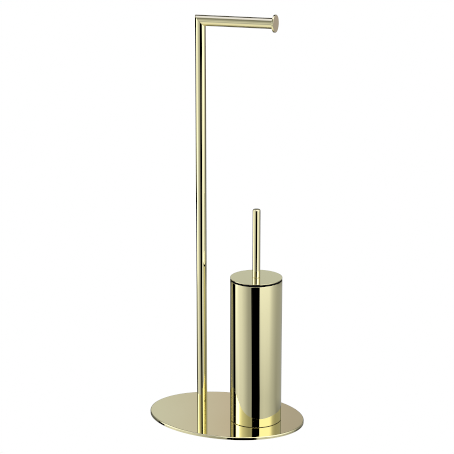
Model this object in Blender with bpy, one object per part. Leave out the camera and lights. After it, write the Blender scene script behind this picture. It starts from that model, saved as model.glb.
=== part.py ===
"""A free-standing toilet paper holder with a toilet brush set on one oval base plate.

Metres, +Z up. The origin is on the floor under the middle of the plate, and +X points along the
roll arm, from the upright towards the end cap. Every named mesh is one separate piece.
"""

import math

import bmesh
import bpy
from mathutils import Vector

# Base plate and its anti-slip pads
PLATE_LENGTH = 0.2812
PLATE_WIDTH = 0.2034
PLATE_THICKNESS = 0.005
PLATE_EDGE = 0.0006
PLATE_EDGE_STEPS = 2
PAD_RADIUS = 0.009
PAD_THICKNESS = 0.0015
PAD_COUNT = 6
PAD_INSET = 0.016

# Upright, roll arm and end cap
TUBE_RADIUS = 0.009
TUBE_WALL = 0.0012
UPRIGHT_X = -0.0465
ARM_HEIGHT = 0.6956
ARM_REACH = 0.1334
CAP_RADIUS = 0.0147
CAP_THICKNESS = 0.003
CAP_EDGE = 0.0004
SPIGOT_LENGTH = 0.012
PLUG_HEIGHT = 0.020

# Brush holder
HOLDER_X = 0.055
HOLDER_RADIUS = 0.045
HOLDER_WALL = 0.0012
LID_TOP_HEIGHT = 0.2596
LID_THICKNESS = 0.0015
LID_EDGE = 0.0004
RING_THICKNESS = 0.0024
RING_SKIRT = 0.008
RING_SKIRT_WALL = 0.0016
RING_INSET = 0.0006
GASKET_THICKNESS = 0.0006
GASKET_WIDTH = 0.008
GASKET_INSET = 0.0005
FLOOR_THICKNESS = 0.002
HOLDER_SCREW_CIRCLE = 0.026
HOLDER_SCREWS = 3

# Inner cup
CUP_RADIUS = 0.0424
CUP_DRAFT = 0.0008
CUP_WALL = 0.0015
CUP_FOOT_DEPTH = 0.0062
CUP_FLOOR = 0.0018
CUP_BELOW_RIM = 0.012

# Brush
HANDLE_RADIUS = 0.0067
HANDLE_WALL = 0.0012
HANDLE_TOP_HEIGHT = 0.3806
HANDLE_EDGE = 0.003
HANDLE_END = 0.002
INSERT_HEIGHT = 0.016
STEM_RADIUS = 0.003
STEM_BELOW_INSERT = 0.0015
STEM_END_ROOM = 0.001
HEAD_CLEARANCE = 0.005
HEAD_HEIGHT = 0.085
HEAD_RADIUS = 0.038
CORE_RADIUS = 0.008
COLLAR_RADIUS = 0.011
COLLAR_HEIGHT = 0.010
CORE_BORE_DEPTH = 0.016
CORE_FOOT_HEIGHT = 0.014
COLLAR_CHAMFER_WIDTH = 0.002
COLLAR_CHAMFER_HEIGHT = 0.003
BRISTLE_SHOULDER = 0.006
BRISTLE_TIP = 0.020

# Metric fasteners: (shank radius, head radius, head height, length, half the socket's width)
POST_SCREW = (0.003, 0.006, 0.0033, 0.020, 0.002)
HOLDER_SCREW = (0.0025, 0.0046, 0.0025, 0.012, 0.0015)
SOCKET_DEPTH = 0.0016
HEAD_LAND = 0.0004
HOLDER_NUT = (0.0028, 0.004, 0.004)
LID_NUT = (0.0033, 0.005, 0.005)
LID_WASHER = (0.0033, 0.009, 0.0012)

GAP = 0.0003
BORE_GAP = 0.0003
MITRE_GAP = 0.00021
HEAD_RECESS = 0.0002
MERGE_DISTANCE = 1e-6
PLATE_SEGMENTS = 96
ROUND_SEGMENTS = 48
SMALL_SEGMENTS = 24
BRISTLE_SEGMENTS = 36
SHARP_ANGLE = math.radians(30.0)
HEXAGON_TURN = math.radians(60.0)
ALONG_X = (0.0, math.radians(90.0), 0.0)

# Levels that follow from the sizes above
PLATE_BOTTOM = PAD_THICKNESS + GAP
PLATE_TOP = PLATE_BOTTOM + PLATE_THICKNESS
ARM_Z = PLATE_TOP + ARM_HEIGHT
GASKET_BOTTOM = PLATE_TOP + GAP
HOLDER_BOTTOM = GASKET_BOTTOM + GASKET_THICKNESS + GAP
FLOOR_TOP = HOLDER_BOTTOM + FLOOR_THICKNESS
LID_TOP = PLATE_TOP + LID_TOP_HEIGHT
LID_BOTTOM = LID_TOP - LID_THICKNESS
RING_TOP = LID_BOTTOM - GAP
RING_BOTTOM = RING_TOP - RING_THICKNESS
SHELL_TOP = RING_BOTTOM - GAP
CUP_BOTTOM = FLOOR_TOP + GAP
CUP_UNDERSIDE = CUP_BOTTOM + CUP_FOOT_DEPTH
CUP_INSIDE = CUP_UNDERSIDE + CUP_FLOOR
CUP_TOP = SHELL_TOP - CUP_BELOW_RIM
HEAD_BOTTOM = CUP_INSIDE + HEAD_CLEARANCE
HEAD_TOP = HEAD_BOTTOM + HEAD_HEIGHT
CORE_TOP = HEAD_TOP + COLLAR_HEIGHT


def clear_scene():
    for obj in list(bpy.data.objects):
        bpy.data.objects.remove(obj, do_unlink=True)


def principled(name, colour, roughness, metallic):
    """One material, as a Principled BSDF with these values."""
    material = bpy.data.materials.new(name)
    material.use_nodes = True
    shader = material.node_tree.nodes["Principled BSDF"]
    shader.inputs["Base Color"].default_value = (*colour, 1.0)
    shader.inputs["Roughness"].default_value = roughness
    shader.inputs["Metallic"].default_value = metallic
    return material


def spun(outline, segments, hexagons=()):
    """A mesh turned about Z from (radius, height) points.

    An outline that starts on the axis also ends there; any other outline is a closed loop. Each
    ring whose radius is in hexagons is pushed out to a hexagon with that half width across flats.
    """
    form = bmesh.new()
    points = [form.verts.new((radius, 0.0, height)) for radius, height in outline]
    edges = [form.edges.new(pair) for pair in zip(points, points[1:])]
    if outline[0][0] > 0.0:
        edges.append(form.edges.new((points[-1], points[0])))
    bmesh.ops.spin(
        form,
        geom=points + edges,
        cent=(0.0, 0.0, 0.0),
        axis=(0.0, 0.0, 1.0),
        angle=2.0 * math.pi,
        steps=segments,
        use_merge=True,
    )
    bmesh.ops.remove_doubles(form, verts=form.verts, dist=MERGE_DISTANCE)
    for vertex in form.verts:
        radius = math.hypot(vertex.co.x, vertex.co.y)
        if any(abs(radius - flat) < MERGE_DISTANCE for flat in hexagons):
            from_corner = math.atan2(vertex.co.y, vertex.co.x) % HEXAGON_TURN
            stretch = 1.0 / math.cos(from_corner - 0.5 * HEXAGON_TURN)
            vertex.co.x *= stretch
            vertex.co.y *= stretch
    bmesh.ops.recalc_face_normals(form, faces=form.faces)
    return form


def arc(centre_radius, centre_height, radius, start, end, steps):
    """Points of a round corner in a turned outline, from angle start to angle end in degrees."""
    angles = [math.radians(start + (end - start) * step / steps) for step in range(steps + 1)]
    return [
        (centre_radius + radius * math.cos(angle), centre_height + radius * math.sin(angle))
        for angle in angles
    ]


def to_mesh(name, form):
    mesh = bpy.data.meshes.new(name)
    form.to_mesh(mesh)
    form.free()
    return mesh


def place(name, mesh, material, location=(0.0, 0.0, 0.0), rotation=(0.0, 0.0, 0.0), parent=None):
    """One named piece from a mesh, shaded smooth except over its sharp edges."""
    if not mesh.materials:
        mesh.materials.append(material)
        mesh.shade_smooth()
        mesh.set_sharp_from_angle(angle=SHARP_ANGLE)
    obj = bpy.data.objects.new(name, mesh)
    bpy.context.scene.collection.objects.link(obj)
    obj.location = location
    obj.rotation_euler = rotation
    obj.parent = parent
    return obj


def axis_empty(name, location):
    """An empty on a joint's axis, which the pieces of that moving body hang from."""
    empty = bpy.data.objects.new(name, None)
    bpy.context.scene.collection.objects.link(empty)
    empty.location = location
    return empty


def ring_outline(inner, outer, bottom, top):
    return [(inner, bottom), (outer, bottom), (outer, top), (inner, top)]


def countersunk_outline(shank, head, head_height, length, socket=None, grow=0.0):
    """A countersunk screw on its head, as a turned outline; grow makes the hole that it sits in."""
    land = HEAD_LAND + grow
    outline = [(0.0, 0.0), (head + grow, 0.0), (head + grow, land)]
    outline += [(shank + grow, head_height + grow), (shank + grow, length), (0.0, length)]
    if socket:
        outline[:1] = [(0.0, SOCKET_DEPTH), (socket, SOCKET_DEPTH), (socket, 0.0)]
    return outline


def cut(obj, name, form, location):
    """Cuts a form out of a piece, at a place in the piece's own frame."""
    cutter = bpy.data.objects.new(name, to_mesh(name, form))
    bpy.context.scene.collection.objects.link(cutter)
    cutter.location = obj.location + Vector(location)
    cutter.hide_render = True
    cutter.display_type = "WIRE"
    boolean = obj.modifiers.new(name, "BOOLEAN")
    boolean.operation = "DIFFERENCE"
    boolean.object = cutter


def mitred_tube(start, end, slope):
    """A tube along Z with one end cut at 45 degrees; slope is the cut's height per metre of X.

    A negative slope mitres the top end and a positive slope mitres the bottom end.
    """
    inner = TUBE_RADIUS - TUBE_WALL
    form = spun(ring_outline(inner, TUBE_RADIUS, start, end), ROUND_SEGMENTS)
    cut_height = end if slope < 0.0 else start
    for vertex in form.verts:
        if abs(vertex.co.z - cut_height) < MERGE_DISTANCE:
            vertex.co.z += slope * vertex.co.x
    return form


def holder_screw_places():
    """(x, y) of each holder screw, on a circle about the holder's axis."""
    turns = [2.0 * math.pi * number / HOLDER_SCREWS for number in range(HOLDER_SCREWS)]
    return [
        (
            HOLDER_X + HOLDER_SCREW_CIRCLE * math.cos(turn),
            HOLDER_SCREW_CIRCLE * math.sin(turn),
        )
        for turn in turns
    ]


def base_plate(material):
    """The oval plate, with broken edges and countersunk holes from below."""
    form = bmesh.new()
    bmesh.ops.create_circle(form, cap_ends=True, segments=PLATE_SEGMENTS, radius=0.5)
    bmesh.ops.scale(form, vec=(PLATE_LENGTH, PLATE_WIDTH, 1.0), verts=form.verts)
    lifted = bmesh.ops.extrude_face_region(form, geom=form.faces[:])["geom"]
    top = [item for item in lifted if isinstance(item, bmesh.types.BMVert)]
    bmesh.ops.translate(form, vec=(0.0, 0.0, PLATE_THICKNESS), verts=top)
    bmesh.ops.recalc_face_normals(form, faces=form.faces)
    location = (0.0, 0.0, PLATE_BOTTOM)
    plate = place("base_plate", to_mesh("base_plate", form), material, location)
    bevel = plate.modifiers.new("edge", "BEVEL")
    bevel.width = PLATE_EDGE
    bevel.segments = PLATE_EDGE_STEPS
    bevel.limit_method = "ANGLE"
    holes = [(UPRIGHT_X, 0.0, POST_SCREW)]
    holes += [(x, y, HOLDER_SCREW) for x, y in holder_screw_places()]
    for number, (x, y, screw) in enumerate(holes):
        shank, head, head_height, length, _ = screw
        outline = countersunk_outline(shank, head, head_height, length, grow=BORE_GAP)
        outline = [(radius, height - (height == 0.0) * GAP) for radius, height in outline]
        hole = spun(outline, SMALL_SEGMENTS)
        cut(plate, f"plate_hole_{number}", hole, (x, y, 0.0))
    return plate


def pads(material):
    """Anti-slip discs under the plate, along an oval inside its edge."""
    outline = [(0.0, 0.0), (PAD_RADIUS, 0.0), (PAD_RADIUS, PAD_THICKNESS), (0.0, PAD_THICKNESS)]
    mesh = to_mesh("pad", spun(outline, SMALL_SEGMENTS))
    for number in range(PAD_COUNT):
        turn = 2.0 * math.pi * (number + 0.5) / PAD_COUNT
        x = (0.5 * PLATE_LENGTH - PAD_INSET) * math.cos(turn)
        y = (0.5 * PLATE_WIDTH - PAD_INSET) * math.sin(turn)
        place(f"pad_{number + 1}", mesh, material, (x, y, 0.0))


def post(brass, steel):
    """The upright tube, the threaded plug in its foot, and the screw that holds both down."""
    foot = PLATE_TOP + GAP
    tube = mitred_tube(0.0, ARM_Z - foot - MITRE_GAP, -1.0)
    place("upright_tube", to_mesh("upright_tube", tube), brass, (UPRIGHT_X, 0.0, foot))
    shank, head, head_height, length, socket = POST_SCREW
    plug_radius = TUBE_RADIUS - TUBE_WALL - GAP
    plug = spun(ring_outline(shank + BORE_GAP, plug_radius, 0.0, PLUG_HEIGHT), SMALL_SEGMENTS)
    place("post_plug", to_mesh("post_plug", plug), steel, (UPRIGHT_X, 0.0, foot))
    outline = countersunk_outline(shank, head, head_height, length, socket)
    screw = spun(outline, SMALL_SEGMENTS, hexagons=(socket,))
    location = (UPRIGHT_X, 0.0, PLATE_BOTTOM + HEAD_RECESS)
    place("post_screw", to_mesh("post_screw", screw), steel, location)


def roll_arm(material):
    """The horizontal tube that carries the roll, and the turned disc pressed into its end."""
    tube_length = ARM_REACH - CAP_THICKNESS - GAP
    tube = mitred_tube(MITRE_GAP, tube_length, 1.0)
    place("arm_tube", to_mesh("arm_tube", tube), material, (UPRIGHT_X, 0.0, ARM_Z), ALONG_X)
    spigot = TUBE_RADIUS - TUBE_WALL - GAP
    rim = CAP_RADIUS - CAP_EDGE
    outline = [(0.0, -SPIGOT_LENGTH), (spigot, -SPIGOT_LENGTH), (spigot, 0.0)]
    outline += arc(rim, CAP_EDGE, CAP_EDGE, -90.0, 0.0, 2)
    outline += arc(rim, CAP_THICKNESS - CAP_EDGE, CAP_EDGE, 0.0, 90.0, 2)
    outline += [(0.0, CAP_THICKNESS)]
    cap = spun(outline, ROUND_SEGMENTS)
    location = (UPRIGHT_X + ARM_REACH - CAP_THICKNESS, 0.0, ARM_Z)
    place("end_cap", to_mesh("end_cap", cap), material, location, ALONG_X)


def holder(brass, steel, rubber):
    """The cylinder on its gasket, its floor disc, and the screws and nuts that clamp them."""
    inner = HOLDER_RADIUS - HOLDER_WALL
    lip = 0.5 * HOLDER_WALL
    height = SHELL_TOP - HOLDER_BOTTOM
    outline = [(inner, 0.0), (HOLDER_RADIUS, 0.0)]
    outline += arc(HOLDER_RADIUS - lip, height - lip, lip, 0.0, 180.0, 4)
    shell = spun(outline, ROUND_SEGMENTS)
    axis = (HOLDER_X, 0.0, HOLDER_BOTTOM)
    place("holder_shell", to_mesh("holder_shell", shell), brass, axis)
    gasket_radius = HOLDER_RADIUS - GASKET_INSET
    gasket = ring_outline(gasket_radius - GASKET_WIDTH, gasket_radius, 0.0, GASKET_THICKNESS)
    mesh = to_mesh("holder_gasket", spun(gasket, ROUND_SEGMENTS))
    place("holder_gasket", mesh, rubber, (HOLDER_X, 0.0, GASKET_BOTTOM))
    disc = inner - GAP
    outline = [(0.0, 0.0), (disc, 0.0), (disc, FLOOR_THICKNESS), (0.0, FLOOR_THICKNESS)]
    floor = place("holder_floor", to_mesh("holder_floor", spun(outline, ROUND_SEGMENTS)), steel, axis)
    shank, head, head_height, length, socket = HOLDER_SCREW
    outline = countersunk_outline(shank, head, head_height, length, socket)
    screw_mesh = to_mesh("holder_screw", spun(outline, SMALL_SEGMENTS, hexagons=(socket,)))
    bore, half_width, nut_height = HOLDER_NUT
    nut = ring_outline(bore, half_width, 0.0, nut_height)
    nut_mesh = to_mesh("holder_nut", spun(nut, SMALL_SEGMENTS, hexagons=(half_width,)))
    for number, (x, y) in enumerate(holder_screw_places(), start=1):
        place(f"holder_screw_{number}", screw_mesh, steel, (x, y, PLATE_BOTTOM + HEAD_RECESS))
        place(f"holder_nut_{number}", nut_mesh, steel, (x, y, FLOOR_TOP + GAP))
        outline = [(0.0, -GAP), (bore, -GAP), (bore, FLOOR_THICKNESS + GAP)]
        hole = spun(outline + [(0.0, FLOOR_THICKNESS + GAP)], SMALL_SEGMENTS)
        cut(floor, f"floor_hole_{number}", hole, (x - HOLDER_X, y, 0.0))


def inner_cup(plastic):
    """The plastic cup that stands inside the holder on its own foot ring."""
    foot_radius = CUP_RADIUS - CUP_DRAFT
    underside = CUP_UNDERSIDE - CUP_BOTTOM
    inside = CUP_INSIDE - CUP_BOTTOM
    height = CUP_TOP - CUP_BOTTOM
    outline = [(0.0, underside), (foot_radius - CUP_WALL, underside), (foot_radius - CUP_WALL, 0.0)]
    outline += [(foot_radius, 0.0), (CUP_RADIUS, height), (CUP_RADIUS - CUP_WALL, height)]
    outline += [(foot_radius - CUP_WALL, inside), (0.0, inside)]
    empty = axis_empty("liner_axis", (HOLDER_X, 0.0, CUP_BOTTOM))
    cup = to_mesh("inner_cup", spun(outline, ROUND_SEGMENTS))
    place("inner_cup", cup, plastic, parent=empty)


def lid_and_handle(brass, steel, plastic):
    """The disc lid, the ring that centres it, the handle above it and the stem below it."""
    empty = axis_empty("brush_axis", (HOLDER_X, 0.0, LID_TOP))
    hole = STEM_RADIUS + BORE_GAP
    rim = HOLDER_RADIUS - LID_EDGE
    outline = [(hole, -LID_THICKNESS)]
    outline += arc(rim, LID_EDGE - LID_THICKNESS, LID_EDGE, -90.0, 0.0, 2)
    outline += arc(rim, -LID_EDGE, LID_EDGE, 0.0, 90.0, 2)
    outline += [(hole, 0.0)]
    place("lid_disc", to_mesh("lid_disc", spun(outline, ROUND_SEGMENTS)), brass, parent=empty)

    skirt = HOLDER_RADIUS - HOLDER_WALL - 2.0 * GAP
    skirt_inner = skirt - RING_SKIRT_WALL
    flange = HOLDER_RADIUS - RING_INSET
    outline = [(hole, 0.0), (hole, -RING_THICKNESS), (skirt_inner, -RING_THICKNESS)]
    outline += [(skirt_inner, -RING_THICKNESS - RING_SKIRT), (skirt, -RING_THICKNESS - RING_SKIRT)]
    outline += [(skirt, -RING_THICKNESS), (flange, -RING_THICKNESS), (flange, 0.0)]
    ring = to_mesh("lid_ring", spun(outline, ROUND_SEGMENTS))
    place("lid_ring", ring, plastic, (0.0, 0.0, RING_TOP - LID_TOP), parent=empty)

    bore, washer_radius, washer_height = LID_WASHER
    washer_top = RING_BOTTOM - GAP
    washer = ring_outline(bore, washer_radius, -washer_height, 0.0)
    mesh = to_mesh("lid_washer", spun(washer, SMALL_SEGMENTS))
    place("lid_washer", mesh, steel, (0.0, 0.0, washer_top - LID_TOP), parent=empty)

    bore, half_width, nut_height = LID_NUT
    nut_top = washer_top - washer_height - GAP
    nut = ring_outline(bore, half_width, -nut_height, 0.0)
    mesh = to_mesh("lid_nut", spun(nut, SMALL_SEGMENTS, hexagons=(half_width,)))
    place("lid_nut", mesh, steel, (0.0, 0.0, nut_top - LID_TOP), parent=empty)

    length = HANDLE_TOP_HEIGHT - LID_TOP_HEIGHT - GAP
    inner = HANDLE_RADIUS - HANDLE_WALL
    end = length - HANDLE_END
    outline = [(0.0, end), (inner, end), (inner, 0.0), (HANDLE_RADIUS, 0.0)]
    outline += arc(HANDLE_RADIUS - HANDLE_EDGE, length - HANDLE_EDGE, HANDLE_EDGE, 0.0, 90.0, 3)
    outline += [(0.0, length)]
    mesh = to_mesh("handle_rod", spun(outline, ROUND_SEGMENTS))
    place("handle_rod", mesh, brass, (0.0, 0.0, GAP), parent=empty)

    insert = ring_outline(hole, inner - GAP, 0.0, INSERT_HEIGHT)
    mesh = to_mesh("handle_insert", spun(insert, SMALL_SEGMENTS))
    place("handle_insert", mesh, steel, (0.0, 0.0, GAP), parent=empty)

    stem_top = INSERT_HEIGHT - STEM_BELOW_INSERT
    stem_bottom = CORE_TOP - CORE_BORE_DEPTH + STEM_END_ROOM - LID_TOP
    outline = [(0.0, stem_bottom), (STEM_RADIUS, stem_bottom), (STEM_RADIUS, stem_top), (0.0, stem_top)]
    mesh = to_mesh("brush_stem", spun(outline, SMALL_SEGMENTS))
    place("brush_stem", mesh, steel, parent=empty)


def brush_head(core_plastic, bristle_plastic):
    """The hub that screws onto the stem, and the bristles around and below it."""
    empty = axis_empty("brush_head_axis", (HOLDER_X, 0.0, HEAD_BOTTOM))
    bore = STEM_RADIUS + BORE_GAP
    core_top = CORE_TOP - HEAD_BOTTOM
    bore_end = core_top - CORE_BORE_DEPTH
    chamfer = COLLAR_RADIUS - COLLAR_CHAMFER_WIDTH
    outline = [(0.0, bore_end), (bore, bore_end), (bore, core_top), (chamfer, core_top)]
    outline += [(COLLAR_RADIUS, core_top - COLLAR_CHAMFER_HEIGHT), (COLLAR_RADIUS, HEAD_HEIGHT + GAP)]
    outline += [(CORE_RADIUS, HEAD_HEIGHT + GAP), (CORE_RADIUS, CORE_FOOT_HEIGHT), (0.0, CORE_FOOT_HEIGHT)]
    core = to_mesh("brush_core", spun(outline, SMALL_SEGMENTS))
    place("brush_core", core, core_plastic, parent=empty)
    seat = CORE_RADIUS + GAP
    foot = CORE_FOOT_HEIGHT - GAP
    shoulder = BRISTLE_SHOULDER
    outline = [(0.0, foot), (seat, foot), (seat, HEAD_HEIGHT)]
    outline += arc(HEAD_RADIUS - shoulder, HEAD_HEIGHT - shoulder, shoulder, 90.0, 0.0, 3)
    outline += arc(HEAD_RADIUS - BRISTLE_TIP, BRISTLE_TIP, BRISTLE_TIP, 0.0, -90.0, 5)
    outline += [(0.0, 0.0)]
    bristles = to_mesh("bristles", spun(outline, BRISTLE_SEGMENTS))
    place("bristles", bristles, bristle_plastic, parent=empty)


def build():
    clear_scene()
    brass = principled("polished_brass", (0.87, 0.80, 0.46), 0.06, 1.0)
    steel = principled("stainless_steel", (0.62, 0.62, 0.60), 0.32, 1.0)
    rubber = principled("black_rubber", (0.03, 0.03, 0.03), 0.70, 0.0)
    plastic = principled("black_plastic", (0.025, 0.025, 0.025), 0.45, 0.0)
    bristle = principled("bristle_plastic", (0.05, 0.05, 0.05), 0.55, 0.0)
    base_plate(brass)
    pads(rubber)
    post(brass, steel)
    roll_arm(brass)
    holder(brass, steel, rubber)
    inner_cup(plastic)
    lid_and_handle(brass, steel, plastic)
    brush_head(plastic, bristle)


build()
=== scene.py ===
"""A free-standing toilet paper holder with a toilet brush set, in polished brass.

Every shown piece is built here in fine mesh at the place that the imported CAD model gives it, and
rides on that model's bodies. Metres, +Z up, +X along the roll arm.
"""

import math
import random

import bmesh
import bpy
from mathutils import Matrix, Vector


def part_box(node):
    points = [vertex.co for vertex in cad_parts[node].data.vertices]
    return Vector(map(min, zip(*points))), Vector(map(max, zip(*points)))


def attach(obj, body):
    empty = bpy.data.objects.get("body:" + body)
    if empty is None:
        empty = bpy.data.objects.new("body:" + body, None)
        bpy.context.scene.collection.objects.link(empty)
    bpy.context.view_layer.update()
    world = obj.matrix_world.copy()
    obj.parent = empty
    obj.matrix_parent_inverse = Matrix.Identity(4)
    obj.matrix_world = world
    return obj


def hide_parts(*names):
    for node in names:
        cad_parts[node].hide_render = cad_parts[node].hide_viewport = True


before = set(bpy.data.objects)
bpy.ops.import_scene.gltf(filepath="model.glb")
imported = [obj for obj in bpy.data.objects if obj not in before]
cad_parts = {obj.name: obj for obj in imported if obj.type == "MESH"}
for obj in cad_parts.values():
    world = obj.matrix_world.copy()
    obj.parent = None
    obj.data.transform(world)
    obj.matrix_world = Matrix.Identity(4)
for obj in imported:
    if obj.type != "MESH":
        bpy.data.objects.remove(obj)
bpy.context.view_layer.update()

# Camera, on a line 21 degrees round from the front and 15 degrees down
CAMERA_PLACE = (0.8657, -2.2385, 0.9887)
CAMERA_PITCH = 0.2600
CAMERA_TURN = 0.3686
CAMERA_LENS = 114.62
CAMERA_SENSOR = 36.0
CAMERA_CLIP_END = 200.0

# Mesh fineness: segments round large and small pieces, support points beside a fillet, steps in a
# fillet and in one turn of thread, and how near a radius has to be to count as the same
ROUND = 192
SMALL = 96
FILLET_STEPS = 5
SUPPORT = 0.00025
SUPPORT_SHARE = 0.35
THREAD_STEPS = 6
SHARP_ANGLE = math.radians(32.0)
SAME_RADIUS = 1e-7
SAME_WALL = 1e-6
HEXAGON_SIDE = math.radians(60.0)
HEXAGON_HALF_SIDE = math.radians(30.0)

# Sockets of a Mix node that blends colours
MIX_FACTOR = 0
MIX_FIRST = 6
MIX_SECOND = 7
MIX_RESULT = 2

# Studio light by direction: (elevation, tint, [(azimuth, level), ...]), in degrees, with another
# tint after a level that needs one. Azimuth 0 is behind the camera and grows to its right.
NEUTRAL = (0.99, 1.02, 1.11)
SKY = (0.97, 1.0, 1.50)
WARM = (1.0, 0.99, 0.95)
ROSE = (1.0, 0.92, 0.98)
BLUSH = (1.0, 0.90, 1.02)
COOL = (1.0, 1.05, 1.08)
MILK = (0.99, 1.06, 1.62)
LOW_FRONT = [
    (-180, 0.13), (-120, 0.15), (-117, 0.0), (-103.2, 0.0), (-101.2, 0.78), (-97, 0.72),
    (-84.6, 0.85), (-76, 0.75), (-62, 0.72), (-57, 0.67), (-52, 0.61), (-47, 0.54), (-42, 0.468),
    (-38, 0.42), (-33, 0.37), (-19.3, 0.35), (-18.3, 0.0), (17.4, 0.0), (18.7, 0.59), (38, 0.65),
    (57, 0.60), (73, 0.50), (85, 0.44), (97, 0.36),
]
PLATE_ZONE = [
    (-180, 0.585, ROSE), (-177.5, 0.64), (-168, 0.65), (-164, 0.0), (-122, 0.42), (-119.5, 0.0),
    (-101.2, 0.0), (-99.0, 3.0), (-82, 3.2), (-77, 1.35), (-65.8, 0.91), (-60, 0.76), (-50, 0.62),
    (-40, 0.50), (-31, 0.42), (-17.6, 0.40), (-16.6, 0.0), (15.6, 0.0), (16.6, 1.4), (62, 1.4),
    (70, 1.25), (80, 0.70), (90, 0.50), (100, 0.42), (150, 0.40), (164, 0.0), (170, 0.40),
    (177.5, 0.46, ROSE), (180, 0.585, ROSE),
]
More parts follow.
